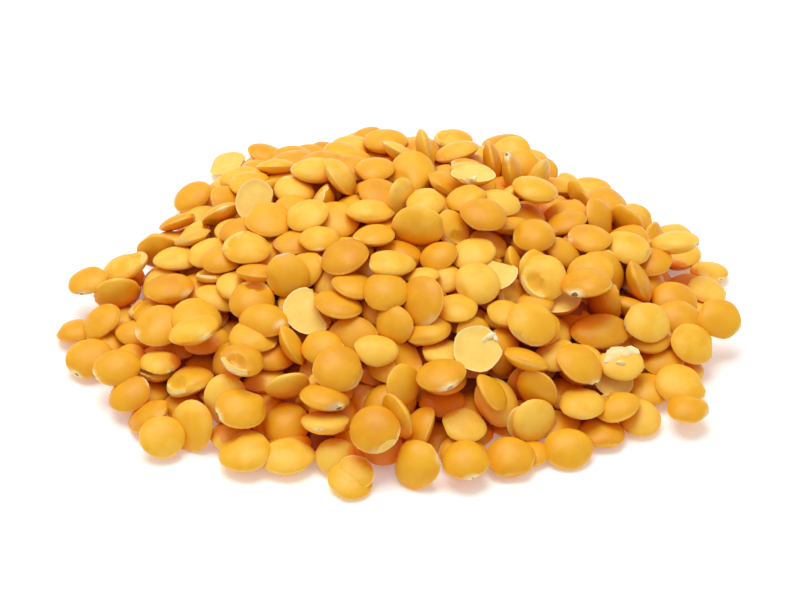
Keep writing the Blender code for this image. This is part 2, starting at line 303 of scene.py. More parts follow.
for x_mm, y_mm, breadth_mm, *_ in SET_BY_HAND:
    reserved[away_from(x_mm * MM, y_mm * MM) < RESERVED_SHARE * breadth_mm / 2 * MM] = True
print("kept free:", round(reserved.sum() * CELL**2 / MM**2), "square mm")

# %% [markdown]
# The lentils are as uneven as real ones: from 4.2 to 6 mm across, a little
# oval, some thicker than others. About one in five is propped up by its neighbours and settles
# less, which gives the heap its edge-on lentils. One in twenty is only half a lentil.

# %% Sizes
LENTIL_ACROSS = 5.15 * MM
ACROSS_SPREAD = 0.4 * MM
LEAST_ACROSS = 4.2 * MM
MOST_ACROSS = 6.0 * MM
OVAL_SPREAD = 0.045
THICKNESS_SHARE = 0.43
THICKNESS_SPREAD = 0.03
SPLIT_THICKNESS = 0.62


def new_half_sizes(kind):
    """Half the length, breadth and thickness of a lentil drawn at random."""
    across = chance.normal(LENTIL_ACROSS, ACROSS_SPREAD)
    across = min(max(across, LEAST_ACROSS), MOST_ACROSS)
    oval = 1 + abs(chance.normal(0, OVAL_SPREAD))
    thick = across * chance.normal(THICKNESS_SHARE, THICKNESS_SPREAD)
    if kind == "split":
        thick *= SPLIT_THICKNESS
    return np.array([across * oval, across / oval, thick]) / 2


print("an average lentil is", LENTIL_ACROSS / MM, "mm across")

# %% Where the next lentil goes
PLACES_TRIED = 30
LEAST_ROOM = 0.2 * MM
RESERVED_DEPTH = 2.4 * MM
MOST_COVERED = 2.0 * MM**2
MOST_PROUD = 0.7 * MM


def roomiest_place():
    """Of a few places, the one furthest below the mound, and the room there."""
    angle = chance.uniform(0, math.tau, PLACES_TRIED)
    radius = edge_radius(angle) * np.sqrt(chance.uniform(0, 1, PLACES_TRIED))
    x, y = radius * np.cos(angle), radius * np.sin(angle)
    spare = RESERVED_DEPTH * reserved[cell(x), cell(y)]
    room = mound(x, y) - spare - height[cell(x), cell(y)]
    place = int(room.argmax())
    return x[place], y[place], room[place]


def stands_proud(at, normal, spin, half):
    """Whether a lentil ends above the mound, or covers a place that is kept free."""
    if at[2] > mound(at[0], at[1]) + MOST_PROUD:
        return True
    across, along, top = tops(np.array(at), turned(normal[None], spin)[0], half)
    above = top > mound(at[0], at[1]) - RESERVED_DEPTH / 2
    return (above & reserved[across, along]).sum() * CELL**2 > MOST_COVERED


print("a lentil needs at least", LEAST_ROOM / MM, "mm of room")

# %% The pour
MISSES_ALLOWED = 90
SPLIT_CHANCE = 0.05
SETTLE_ROUNDS = 22
SETTLE_MOVE = 0.55 * MM
SETTLE_LEAN = 0.12
START_LEAN = 0.42
PROPPED_CHANCE = 0.18
PROPPED_LEAN = 0.9
PROPPED_ROUNDS = SETTLE_ROUNDS // 3


def drop_one(x, y):
    """Draws one lentil, settles it near x and y, and lays it down unless it stands proud."""
    kind = "split" if chance.uniform() < SPLIT_CHANCE else "whole"
    half = new_half_sizes(kind)
    propped = chance.uniform() < PROPPED_CHANCE
    start = mound_normal(x, y) + chance.normal(0, PROPPED_LEAN if propped else START_LEAN, 3)
    start[2] = abs(start[2])
    spin = chance.uniform(0, math.tau)
    rounds = PROPPED_ROUNDS if propped else SETTLE_ROUNDS
    *at, normal = settled(x, y, unit(start), spin, half, rounds, SETTLE_MOVE, SETTLE_LEAN, BITE)
    if stands_proud(at, normal, spin, half):
        return False
    lay(at, normal, spin, half, kind)
    return True


misses = 0
while misses < MISSES_ALLOWED:
    misses += 1
    *place, room = roomiest_place()
    if room >= LEAST_ROOM and drop_one(*place):
        misses = 0
print(len(lentils), "lentils poured, up to", round(height.max() / MM, 1), "mm high")

# %% [markdown]
# The listed lentils come last. One that would lie alone slides in towards the middle until it
# laps over a neighbour, so that the heap holds together right out to its strays.

# %% Setting the others one by one
LAP = 0.9 * MM
HAND_OVAL = 1.03
HAND_ROUNDS = 4
HAND_MOVE = 0.05 * MM
HAND_LEAN = 0.05
BITE_BY_HAND = 0.6 * MM


def alone(x, y, radius):
    """Whether a lentil would lie on the bare surface, clear of all the others."""
    return not height[away_from(x, y) < radius - LAP].any()


def set_by_hand(x, y, breadth, lean, heading, kind, side):
    """Lays a lentil at a chosen place and lean, moved in until it meets the others."""
    thick = breadth * THICKNESS_SHARE * (SPLIT_THICKNESS if kind in HALF_LENTILS else 1)
    half = np.array([breadth * HAND_OVAL, breadth / HAND_OVAL, thick]) / 2
    face = np.array(
        [math.sin(lean) * math.cos(heading), math.sin(lean) * math.sin(heading), math.cos(lean)]
    )
    spin = chance.uniform(0, math.tau)
    while alone(x, y, breadth / 2):
        inward = CELL / math.hypot(x, y)
        x, y = x - x * inward, y - y * inward
    *at, normal = settled(
        x, y, face, spin, half, HAND_ROUNDS, HAND_MOVE, HAND_LEAN, BITE_BY_HAND
    )
    lay(at, normal, spin, half, kind)
    lentils[-1]["side"] = side


for *sizes_mm, lean, heading, kind, side in SET_BY_HAND:
    x, y, breadth = np.array(sizes_mm) * MM
    set_by_hand(x, y, breadth, *np.radians([lean, heading]), kind, math.radians(side))
print(len(lentils), "lentils in all")

# %% [markdown]
# Under the front edge two wide gaps would still show the bare table. A flat lentil is tucked into
# each, under the others.

# %% Lentils tucked under the edge
# x, y and breadth in mm
TUCKED_UNDER = ((-12.3, -25.5, 4.8), (3.6, -24.4, 5.2))
middle_count = len(lentils)
for x, y, breadth in np.array(TUCKED_UNDER) * MM:
    half = np.array([breadth, breadth, breadth * THICKNESS_SHARE]) / 2
    at = np.array([x, y, half[2]])
    lentils.append({"at": at, "turn": np.eye(3), "half": half, "kind": "plump"})
print(len(TUCKED_UNDER), "more are tucked under the front edge")

# %% The middle of the heap
reach = []
for lentil in lentils[:middle_count]:
    points = (surface * lentil["half"]) @ lentil["turn"].T + lentil["at"]
    reach += [points.min(axis=0), points.max(axis=0)]
middle = (np.min(reach, axis=0) + np.max(reach, axis=0)) / 2
middle[2] = 0.0
print("the middle is moved to the origin from", (middle / MM).round(2), "mm")

# %% [markdown]
# ## Finishes
#
# A lentil has three finishes: the skin, the paler inside that a chip or a split lays bare, and the
# chalky white of crumbs. They are only named here, so that the masters can use them, and their
# nodes follow further down.

# %% Naming the finishes
SKIN_SLOT, INSIDE_SLOT, CRUMB_SLOT = range(3)
skin = bpy.data.materials.new("lentil_skin")
inside = bpy.data.materials.new("lentil_inside")
crumb = bpy.data.materials.new("lentil_crumb")
finishes = [skin, inside, crumb]
print("finishes:", [finish.name for finish in finishes])

# %% [markdown]
# ## Master lentils
#
# A real heap has several sorts of lentil: plump ones, flatter ones, ones with a little beak where
# the root starts, chipped and dented ones, and halves. Each sort is modelled once, as an average
# lentil at true size. A ball primitive is pressed into a lens by sliding its rings of corners
# along the axis.

# %% Helpers for modelling
RADIUS = LENTIL_ACROSS / 2
HALF_THICK = RADIUS * THICKNESS_SHARE


def pick(piece, wanted):
    """Selects the corners for which wanted(x, y, z) holds, in master radii."""
    bpy.ops.mesh.select_mode(type="VERT")
    bpy.ops.mesh.select_all(action="DESELECT")
    shape = bmesh.from_edit_mesh(piece.data)
    for corner in shape.verts:
        corner.select_set(bool(wanted(*(corner.co / RADIUS))))
    shape.select_flush(True)
    bmesh.update_edit_mesh(piece.data)


def push(piece, wanted, x=0.0, y=0.0, z=0.0):
    """Moves the wanted corners, by a distance in master radii."""
    pick(piece, wanted)
    bpy.ops.transform.translate(value=Vector((x, y, z)) * RADIUS)


def select_only(*objects):
    """Selects these objects and no others, the first of them as the active one."""
    bpy.ops.object.select_all(action="DESELECT")
    for chosen in reversed(objects):
        chosen.select_set(True)
        bpy.context.view_layer.objects.active = chosen


def new_primitive(name, add, **sizes):
    """Adds a primitive of master radius, gives it the finishes, and starts editing it."""
    select_only()
    add(radius=RADIUS, **sizes)
    made = bpy.context.object
    made.name = name
    for finish in finishes:
        made.data.materials.append(finish)
    bpy.ops.object.mode_set(mode="EDIT")
    return made


def done(piece):
    """Back to object mode, with the faces looking outwards."""
    bpy.ops.mesh.select_all(action="SELECT")
    bpy.ops.mesh.normals_make_consistent(inside=False)
    bpy.ops.object.mode_set(mode="OBJECT")
    print(piece.name, "has", len(piece.data.polygons), "faces")
    return piece


# %% A ball pressed into a lens
SPOKES = 24
RINGS = 14
SAME_LEVEL = 0.01


def lens(name, spokes=SPOKES, rings=RINGS, power=FACE_POWER, thickness=1.0):
    """A lens of master size: the higher the power, the sharper its rim."""
    ball = bpy.ops.mesh.primitive_uv_sphere_add
    made = new_primitive(name, ball, segments=spokes, ring_count=rings)
    same = SAME_LEVEL / rings
    levels = [math.sin(math.pi * (step / rings - 0.5)) for step in range(rings + 1)]
    for level in sorted(levels, key=abs):
        goal = math.copysign(abs(level) ** (2 * power), level) * THICKNESS_SHARE * thickness
        push(made, lambda x, y, z: abs(z - level) < same, z=goal - level)
    return made


plump = done(lens("plump", power=0.6))
broad = done(lens("broad"))
flat = done(lens("flat", power=0.56, thickness=0.84))

# %% [markdown]
# Few lentils are round all over. Some are fuller on one side, and some are drawn out to a corner.
# Those are made from the same lens by pushing a part of the rim in or out, and by thinning one side.
# Every number in a push is a share of the lentil's radius.

# %% Lopsided and cornered lentils
lopsided = lens("lopsided", power=0.63)
push(lopsided, lambda x, y, z: x < -0.45, x=0.035)
push(lopsided, lambda x, y, z: x < -0.2 and z > 0.1, z=-0.03)
push(lopsided, lambda x, y, z: x > 0.3 and abs(z) > 0.1, x=0.03)
lopsided = done(lopsided)

cornered = lens("cornered", power=0.62)
push(cornered, lambda x, y, z: math.hypot(x, y) > 0.95 and x > 0.7 and y > 0.3, x=0.035, y=0.03)
push(cornered, lambda x, y, z: math.hypot(x, y) > 0.8 and x < -0.5 and y > 0, x=0.03, y=-0.02)
push(cornered, lambda x, y, z: y < -0.4 and z > 0.05, z=-0.025)
cornered = done(cornered)

# %% [markdown]
# The beaked lentil keeps the tip of its root: a small bump on the rim with a nick beside it. The
# dented one was pressed by a neighbour while it was still soft: along one side its rim is turned up,
# pale where the skin has worn, and a hollow like a crescent lies between it and the middle. These
# marks are all on the side of +X, so that a listed lentil can be turned to show them.

# %% Beaked and dented lentils
def crescent(inner, outer, spread, above=0.0):
    """Picks what lies between two radii on the marked side, within an angle, over a height."""
    return lambda x, y, z: (
        inner < math.hypot(x, y) < outer and abs(math.atan2(y, x)) < spread and z > above
    )


def finish_faces(piece, wanted, slot):
    """Gives another finish to the faces whose middle is wanted(x, y, z)."""
    shape = bmesh.from_edit_mesh(piece.data)
    for face in shape.faces:
        if wanted(*(face.calc_center_median() / RADIUS)):
            face.material_index = slot
    bmesh.update_edit_mesh(piece.data)


beaked = lens("beaked", power=0.63)
push(beaked, lambda x, y, z: x > 0.93 and -0.05 < y < 0.3, x=0.05, y=0.01)
push(beaked, lambda x, y, z: x > 0.85 and 0.3 < y < 0.55, x=-0.045, y=-0.02)
push(beaked, crescent(0.7, 1.1, 0.4, above=0.02), z=0.03)
beaked = done(beaked)

dimpled = lens("dimpled", power=0.63)
finish_faces(dimpled, crescent(0.8, 0.99, 0.9), INSIDE_SLOT)
push(dimpled, crescent(0.4, 0.85, 0.85), z=-0.06)
push(dimpled, crescent(0.4, 0.7, 0.75), z=-0.16)
push(dimpled, crescent(0.87, 1.01, 1.1, above=-0.05), z=0.06)
dimpled = done(dimpled)

# %% [markdown]
# The mill that takes the husk off also knocks pieces out of the rim. A chipped lentil is cut by two
# planes near its rim, and each cut is broken up so that it looks like a fracture. The faces of the
# cuts get the finish of the inside.

# %% Cutting a piece off
BISECT_TOLERANCE = 1e-6
ON_THE_CUT = 1e-3
FACING_THE_CUT = 0.99
LIP = 0.04
BREAK_UP = 0.03


def cut_off(piece, at, normal, slot=INSIDE_SLOT):
    """Cuts off what lies beyond a plane, and leaves the cut face selected."""
    bpy.ops.mesh.select_all(action="SELECT")
    bpy.ops.mesh.bisect(
        plane_co=Vector(at) * RADIUS,
        plane_no=normal,
        use_fill=True,
        clear_outer=True,
        threshold=BISECT_TOLERANCE,
    )
    bpy.ops.mesh.select_mode(type="FACE")
    toward = Vector(normal).normalized()
    shape = bmesh.from_edit_mesh(piece.data)
    shape.normal_update()
    for face in shape.faces:
        off = (face.calc_center_median() / RADIUS - Vector(at)).dot(toward)
        face.select_set(abs(off) < ON_THE_CUT and abs(face.normal.dot(toward)) > FACING_THE_CUT)
        if face.select:
            face.material_index = slot
    bmesh.update_edit_mesh(piece.data)


def fracture(depth, seed):
    """Breaks up the selected cut face: a narrow lip, then an uneven hollow."""
    bpy.ops.mesh.inset(thickness=LIP * RADIUS)
    bpy.ops.mesh.poke(offset=-depth * RADIUS)
    bpy.ops.transform.vertex_random(offset=BREAK_UP * RADIUS, seed=seed)


chipped = lens("chipped", power=0.63)
cut_off(chipped, at=(0.92, 0.0, 0.0), normal=(1.0, 0.25, 0.5))
fracture(depth=0.05, seed=1)
cut_off(chipped, at=(0.68, 0.68, 0.0), normal=(0.7, 1.0, 0.35))
fracture(depth=0.05, seed=2)
chipped = done(chipped)

# %% [markdown]
# Many lentils have come apart into their two seed leaves. Such a half has a domed side and a flat
# side, with a low rim round the flat. It is a lens cut through its middle plane, with the flat face
# inset and pushed in a little. It is then centred on its own thickness.

# %% Halves
# breadth and rise of the flat's rim, of the step inside it and of the low swell in the middle
FLAT_SIDE = ((0.07, 0.0), (0.08, -0.035), (0.3, 0.02))
MIDDLE_RISE = 0.02


def half_lens(name):
    """The lower half of a lens, its flat face up, centred on its own thickness."""
    made = lens(name)
    cut_off(made, at=(0.0, 0.0, 0.0), normal=(0.0, 0.0, 1.0))
    for breadth, rise in FLAT_SIDE:
        bpy.ops.mesh.inset(thickness=breadth * RADIUS, depth=rise * RADIUS)
    bpy.ops.mesh.poke(offset=MIDDLE_RISE * RADIUS)
    push(made, lambda x, y, z: True, z=0.5 * THICKNESS_SHARE)
    return made


split = done(half_lens("split"))

# %% [markdown]
# The others are joined from several shapes. One half is peeled: a piece of its rim is gone, and at
# the notch the skin has curled up and shows its white underside. One has come apart into its seed
# leaves, and the upper leaf has slid to one side. One is broken along its side, where chalky scraps
# still sit on it. A scrap is a ball with few faces, made rough and pressed flat.

# %% Moving, joining and scraps
SCRAP_THICK = 0.09
SCRAP_ROUGHNESS = 0.22


def moved(piece, x, y, z, size, lean=0.0, turn=0.0):
    """A finished shape resized, leaned back from +X, turned and moved, in master radii."""
    select_only(piece)
    piece.scale = size
    piece.rotation_euler = (0.0, lean, turn)
    piece.location = Vector((x, y, z)) * RADIUS
    bpy.ops.object.transform_apply(location=True, rotation=True, scale=True)
    return piece


def joined(first, *others):
    """Several shapes as one master."""
    select_only(first, *others)
    bpy.ops.object.join()
    print(first.name, "has", len(first.data.polygons), "faces in all")
    return first


def scrap(number, x, y, z, length, breadth, turn):
    """A thin scrap: place and half sizes in master radii, turn in degrees."""
    ball = bpy.ops.mesh.primitive_ico_sphere_add
    made = new_primitive(f"scrap_{number}", ball, subdivisions=2)
    bpy.ops.mesh.select_all(action="SELECT")
    bpy.ops.transform.vertex_random(offset=SCRAP_ROUGHNESS * RADIUS, seed=number)
    finish_faces(made, lambda x, y, z: True, CRUMB_SLOT)
    size = (length, breadth, SCRAP_THICK)
    return moved(done(made), x, y, z, size, turn=math.radians(turn))


# %% A peeled half
# x, y, z, half length, half breadth and turn of each scrap of the curl
CURL = (
    (0.42, 0.3, 0.2, 0.22, 0.09, 25),
    (0.7, 0.38, 0.25, 0.24, 0.11, 8),
    (0.88, 0.26, 0.22, 0.2, 0.1, 285),
)
peeled = half_lens("peeled")
cut_off(peeled, at=(0.9, 0.0, 0.0), normal=(1.0, 0.1, 0.0))
fracture(depth=0.04, seed=3)
peeled = joined(done(peeled), *(scrap(number, *row) for number, row in enumerate(CURL)))

# %% A cracked lentil
lower = lens("cracked", power=0.6, thickness=0.6)
push(lower, lambda x, y, z: x > 0.5 and abs(y) < 0.6, z=-0.03)
lower = done(lower)
upper = lens("upper_leaf", spokes=20, rings=10, power=0.6, thickness=0.4)
for angle in (-0.9, -0.3, 0.3, 0.9):
    push(upper, lambda x, y, z: abs(math.atan2(y, x) - angle) < 0.1 and x > 0.3 and z > 0, z=-0.03)
finish_faces(upper, crescent(0.88, 1.1, math.pi, above=-1.0), INSIDE_SLOT)
upper = moved(done(upper), 0.4, 0.0, 0.2, size=(0.72, 0.86, 0.8), lean=-0.2)
cracked = joined(lower, upper)

# %% A crumbled lentil
# x, y, z, half length, half breadth and turn of each scrap
CRUST = (
    (0.48, -0.46, 0.08, 0.4, 0.34, 70),
    (0.4, -0.16, 0.15, 0.44, 0.3, 95),
    (0.6, 0.14, 0.06, 0.46, 0.3, 100),
    (0.36, 0.32, 0.16, 0.42, 0.32, 110),
    (0.12, 0.58, 0.14, 0.34, 0.2, 140),
    (-0.2, 0.12, 0.22, 0.2, 0.1, 75),
)
crumbled = lens("crumbled", thickness=0.5, power=0.6)
push(crumbled, crescent(0.6, 1.1, 3.5, above=0.02), z=0.02)
cut_off(crumbled, at=(0.62, 0.0, 0.0), normal=(1.0, 0.1, 1.8), slot=CRUMB_SLOT)
fracture(depth=0.04, seed=5)
crumbled = joined(done(crumbled), *(scrap(number, *row) for number, row in enumerate(CRUST)))

# %% [markdown]
# Between the lentils that show, parts of hidden ones are glimpsed. Those need the right place and
# colour, but not the fine shape, so they share one plain lens with few faces.

# %% A plain lens for the hidden ones
hidden = done(lens("hidden", spokes=16, rings=6))

# %% [markdown]
# ## Copies at their places
#
# Every lentil of the heap is given a sort, drawn at random with a fixed seed. Then all the lentils
# of one sort are made as one mesh, straight from arrays: the corners of the master, stretched to
# each lentil's size, made a little uneven, turned and moved. Each corner also keeps where it lies
# on its own lentil, for the finishes.

# %% Sorting the lentils
LOOKS_SEED = 7
HIDDEN_AREA = 0.5 * MM**2
WHOLE_SORTS = {
    "plump": 0.17,
    "broad": 0.16,
    "flat": 0.14,
    "lopsided": 0.14,
    "cornered": 0.1,
    "beaked": 0.14,
    "chipped": 0.08,
    "dimpled": 0.07,
}
HALF_SORTS = {"split": 0.85, "cracked": 0.15}
FLIPPED_SHARE = 0.5
masters = [plump, broad, flat, lopsided, cornered, beaked, dimpled, chipped]
masters += [split, peeled, cracked, crumbled, hidden]

looks = np.random.default_rng(LOOKS_SEED)
showing = np.bincount(owner[owner >= 0], minlength=len(lentils)) * CELL**2
for lentil, area in zip(lentils, showing):
    shares = HALF_SORTS if lentil["kind"] == "split" else WHOLE_SORTS
    drawn = str(looks.choice(list(shares), p=list(shares.values())))
    lentil["flip"] = lentil["kind"] == "split" and looks.uniform() < FLIPPED_SHARE
    lentil["sort"] = drawn if lentil["kind"] in ("whole", "split") else lentil["kind"]
    if area < HIDDEN_AREA:
        lentil["sort"] = "hidden"
print(sum(lentil["sort"] == "hidden" for lentil in lentils), "lentils are nearly hidden")

# %% Making one lentil uneven
RIM_WAVE = 0.025
WAVES_ROUND_THE_RIM = (2, 3, 5)
PRESSED_SIDES = 2
PRESSED_TILT = 0.3
PRESSED_LEAST = 0.86
PRESSED_MOST = 1.04
SADDLE = 0.08
FULLER_FACE = 0.08
LIFT = 0.01 * MM


def uneven(corners):
    """A unit lens with a wavy rim, a slight bend, a fuller face and flattened sides."""
    angle = np.arctan2(corners[:, 1], corners[:, 0])
    radius = np.hypot(corners[:, 0], corners[:, 1])
    wave = np.ones(len(corners))
    for waves in WAVES_ROUND_THE_RIM:
        swell = looks.normal(0, RIM_WAVE / math.sqrt(waves))
        wave += swell * np.cos(waves * angle + looks.uniform(0, math.tau))
    fuller = 1 + looks.normal(0, FULLER_FACE) * np.sign(corners[:, 2])
    saddle = looks.normal(0, SADDLE) * radius**2 * np.cos(2 * angle + looks.uniform(0, math.tau))
    made = corners * wave[:, None]
    made[:, 2] = corners[:, 2] * fuller + saddle
    for side in range(PRESSED_SIDES):
        heading = looks.uniform(0, math.tau)
        toward = np.array([math.cos(heading), math.sin(heading), looks.normal(0, PRESSED_TILT)])
        over = made @ toward - looks.uniform(PRESSED_LEAST, PRESSED_MOST)
        made -= np.maximum(over, 0.0)[:, None] * toward
    return made


def swung(corners, lentil):
    """Turns a unit lens on its own axis, to point its marked side the right way."""
    if "side" not in lentil:
        return corners
    swing = lentil["side"] - math.atan2(lentil["turn"][1, 0], lentil["turn"][0, 0])
    x, y, z = corners.T
    cos, sin = math.cos(swing), math.sin(swing)
    return np.stack([x * cos - y * sin, x * sin + y * cos, z], axis=-1)


def placed(corners, lentil):
    """A unit lens at the lentil's size, pose and place, and nowhere below the surface."""
    facing = (1, -1, -1) if lentil["flip"] else (1, 1, 1)
    shape = uneven(swung(corners, lentil) * facing) * lentil["half"]
    points = shape @ lentil["turn"].T + lentil["at"] - middle
    points[:, 2] += max(0.0, LIFT - points[:, 2].min())
    return points


print("rims wave by about", round(RIM_WAVE * RADIUS / MM, 3), "mm")

# %% [markdown]
# Two more values are kept for each lentil: its tone, and a mark that says whether it has a pale
# patch or a film of husk. Beaked ones always have the patch. The hidden ones stay deep in tone, as
# painted shade for the gaps, and the cracked ones are yellow.
#
# Each corner also keeps how deep it lies under the top of the heap, and how crowded it is, for the
# painted shade of the skin. For that, feelers of a few lengths stand straight out from it, and the
# share of them that end inside another lentil is counted.

# %% One mesh for each sort
DEEPEST = 5.0 * MM
FEELERS = np.array([0.2, 0.5, 0.9, 1.4]) * MM
NEIGHBOURLY = 6.5 * MM
USUAL_TONES = (0.22, 1.0)
USUAL_MARKS = (0.0, 1.0)
# the hidden ones get deep tones as painted shade for the gaps
TONES = {"cracked": (0.75, 1.0), "hidden": (0.1, 0.3)}
MARKS = {"beaked": (0.6, 1.0), "cracked": (0.3, 0.4), "hidden": (0.3, 0.4)}


def keep(mesh, name, kind, values):
    """Keeps a value for each corner of the mesh, for the finishes to read."""
    layer = mesh.attributes.new(name, kind, "POINT")
    layer.data.foreach_set("value" if kind == "FLOAT" else "vector", np.ravel(values))


def crowding(points, one):
    """For each corner, the share of its feelers that end inside another lentil."""
    local = (points - one["at"]) @ one["turn"]
    outward = unit(local / one["half"] ** 2) @ one["turn"].T
    ends = points[:, None] + outward[:, None] * FEELERS[:, None]
    felt = np.zeros(ends.shape[:2], bool)
    distances = np.linalg.norm(places - one["at"], axis=1)
    for number in np.flatnonzero((distances > 0) & (distances < NEIGHBOURLY)):
        other = lentils[number]
        x, y, z = np.moveaxis((ends - other["at"]) @ other["turn"] / other["half"], -1, 0)
        felt |= np.abs(z) < (1 - np.minimum(x * x + y * y, 1)) ** FACE_POWER
    return felt.mean(axis=1)


def all_of(master):
    """Every lentil of one sort, as one piece."""
    half = np.array([RADIUS, RADIUS, HALF_THICK])
    if master.name in HALF_LENTILS:
        half[2] /= 2
    members = [lentil for lentil in lentils if lentil["sort"] == master.name]
    corners = np.array([corner.co for corner in master.data.vertices]) / half
    count = len(corners)
    faces = [tuple(face.vertices) for face in master.data.polygons]
    slots = [face.material_index for face in master.data.polygons]
    all_faces = [
        tuple(number * count + corner for corner in face)
        for number in range(len(members))
        for face in faces
    ]
    shapes = [placed(corners, one) for one in members]
    points = np.concatenate(shapes)
    crowd = [crowding(shape + middle, one) for shape, one in zip(shapes, members)]
    name = f"{master.name}_lentils"
    mesh = bpy.data.meshes.new(name)
    mesh.from_pydata(points.tolist(), [], all_faces)
    top = height[cell(points[:, 0] + middle[0]), cell(points[:, 1] + middle[1])]
    # depth and crowd drive the painted shade in the skin's colour
    keep(mesh, "depth", "FLOAT", np.clip((top - points[:, 2]) / DEEPEST, 0, 1))
    keep(mesh, "crowd", "FLOAT", np.concatenate(crowd))
    mesh.polygons.foreach_set("material_index", slots * len(members))
    shifts = looks.uniform(0, 1, (len(members), 3))
    sizes = np.array([one["half"] for one in members])
    grain = corners[None] * sizes[:, None] + shifts[:, None]
    keep(mesh, "place", "FLOAT_VECTOR", np.tile(corners, (len(members), 1)))
    keep(mesh, "grain", "FLOAT_VECTOR", grain)
    tone = looks.uniform(*TONES.get(master.name, USUAL_TONES), len(members))
    mark = looks.uniform(*MARKS.get(master.name, USUAL_MARKS), len(members))
    mark = np.where(["side" in one for one in members], np.maximum(mark, 1 - mark), mark)
    keep(mesh, "tone", "FLOAT", np.repeat(tone, count))
    keep(mesh, "mark", "FLOAT", np.repeat(mark, count))
    for finish in finishes:
        mesh.materials.append(finish)
    made = bpy.data.objects.new(name, mesh)
    bpy.context.scene.collection.objects.link(made)
    print(name, "has", len(members), "lentils and", len(all_faces), "faces")
    return made


places = np.array([lentil["at"] for lentil in lentils])
pieces = [all_of(master) for master in masters]
for master in masters:
    bpy.data.objects.remove(master)

# %% [markdown]
# A skin is smooth and a break is sharp, so only edges between faces that nearly line up are smoothed.

# %% Smooth skins and sharp breaks
SHARPEST_SMOOTH = math.radians(40)

select_only(*pieces)
bpy.ops.object.shade_smooth_by_angle(angle=SHARPEST_SMOOTH)
print("smoothed", len(pieces), "pieces")

# %% [markdown]
# ## Painted shade inside the heap
#
# Through the gaps one looks down between the lentils into shade, and the light that comes back from
# there has been stained by many skins. A core a few millimetres under the surface closes those gaps
# with a painted shade of dark brown. It is a disc, extruded up and inset in rings, whose top follows
# the height field. It ends well short of the heap's edge, where it would show from the side.

# %% The core
CORE_DEPTH = 4.5 * MM
CORE_LEAST = 0.6 * MM
CORE_EDGE = 0.06 * MM
CORE_SPOKES = 48
CORE_RINGS = 9
NEAR = 2.0 * MM
COVERED = 2.0 * MM
CORE_INSET = 2.0 * MM
LOW_SHARE = 30
AT_THE_EDGE = 0.99
HALF_WAY_UP = 0.5


def field_around(x, y, reach):
    """The part of the height field that lies within reach of a place."""
    steps = np.linspace(-reach, reach, round(2 * reach / CELL) + 1)
    return height[np.ix_(cell(x + steps), cell(y + steps))]


def core_height(x, y):
    """Height of the core at a place of the field: well under the lentils there."""
    low = float(np.percentile(field_around(x, y, NEAR), LOW_SHARE))
    return max(low - CORE_DEPTH, CORE_LEAST)


def core_reach(angle):
    """How far out the core may go in a direction and still have lentils all over it."""
    reach = float(edge_radius(angle))
    while field_around(reach * math.cos(angle), reach * math.sin(angle), COVERED).min() <= 0:
        reach -= CELL
    return reach - CORE_INSET


# the core is a dark sheet that carries painted shade under the gaps
select_only()
bpy.ops.mesh.primitive_circle_add(vertices=CORE_SPOKES, radius=1.0, fill_type="NGON")
core = bpy.context.object
core.name = "painted_shade_core"
bpy.ops.object.mode_set(mode="EDIT")
bpy.ops.mesh.select_all(action="SELECT")
bpy.ops.mesh.extrude_region_move(TRANSFORM_OT_translate={"value": (0, 0, 1)})
for ring in range(CORE_RINGS - 1):
    bpy.ops.mesh.inset(thickness=1 / CORE_RINGS, use_boundary=True)
bpy.ops.mesh.poke()
for corner in done(core).data.vertices:
    angle = math.atan2(corner.co.y, corner.co.x)
    reach = core_reach(angle) * math.hypot(corner.co.x, corner.co.y)
    x, y = reach * math.cos(angle), reach * math.sin(angle)
    top = core_height(x, y)
    if math.hypot(corner.co.x, corner.co.y) > AT_THE_EDGE:
        top = CORE_EDGE
    if corner.co.z < HALF_WAY_UP:
        top = LIFT
    corner.co = Vector((x, y, top)) - Vector(middle)
bpy.ops.object.shade_smooth_by_angle(angle=SHARPEST_SMOOTH)
pieces.append(core)

# %% [markdown]
# ## The skin
#
# The skin of a husked lentil is smooth, satin and a little waxy, from pale yellow to deep golden
# orange. No two are quite alike: the tone changes from one to the next, and clouds a little over
# each. The rim is paler, and where the root started there is often a whitish patch with a small
# grey dot. Here and there a film of the greyish husk is left. All of it is worked out from the
# values kept at the corners, so it follows each lentil wherever it lies.

# %% Helpers for nodes
# most of the noise lies between these two values
USUAL_NOISE = (0.3, 0.7)


def start_nodes(material, sockets):
    """The nodes and the shader of a finish, with some of its sockets set."""
    material.use_nodes = True
    shader = material.node_tree.nodes["Principled BSDF"]
    for name, value in sockets.items():
        shader.inputs[name].default_value = value
    return material.node_tree, shader


def stored(tree, name, output="Fac"):
    node = tree.nodes.new("ShaderNodeAttribute")
    node.attribute_name = name
    return node.outputs[output]


def noise(tree, scale, detail, roughness=0.5, where=None):
    """Soft noise over each lentil, or over a given place, in features for each metre."""
    node = tree.nodes.new("ShaderNodeTexNoise")
    for name, value in (("Scale", scale), ("Detail", detail), ("Roughness", roughness)):
        node.inputs[name].default_value = value
    over = stored(tree, "grain", "Vector") if where is None else where
    tree.links.new(over, node.inputs["Vector"])
    return node.outputs["Fac"]


def remap(tree, value, low, high, to_low=0.0, to_high=1.0):
    """Stretches a value from one range to another, with soft ends."""
    node = tree.nodes.new("ShaderNodeMapRange")
    node.interpolation_type = "SMOOTHSTEP"
    limits = {"From Min": low, "From Max": high, "To Min": to_low, "To Max": to_high}
    for name, limit in limits.items():
        node.inputs[name].default_value = limit
    tree.links.new(value, node.inputs["Value"])
    return node.outputs["Result"]


def clouds(tree, scale, detail, least, most):
    """Soft noise that runs from one value to another."""
    return remap(tree, noise(tree, scale, detail), *USUAL_NOISE, least, most)


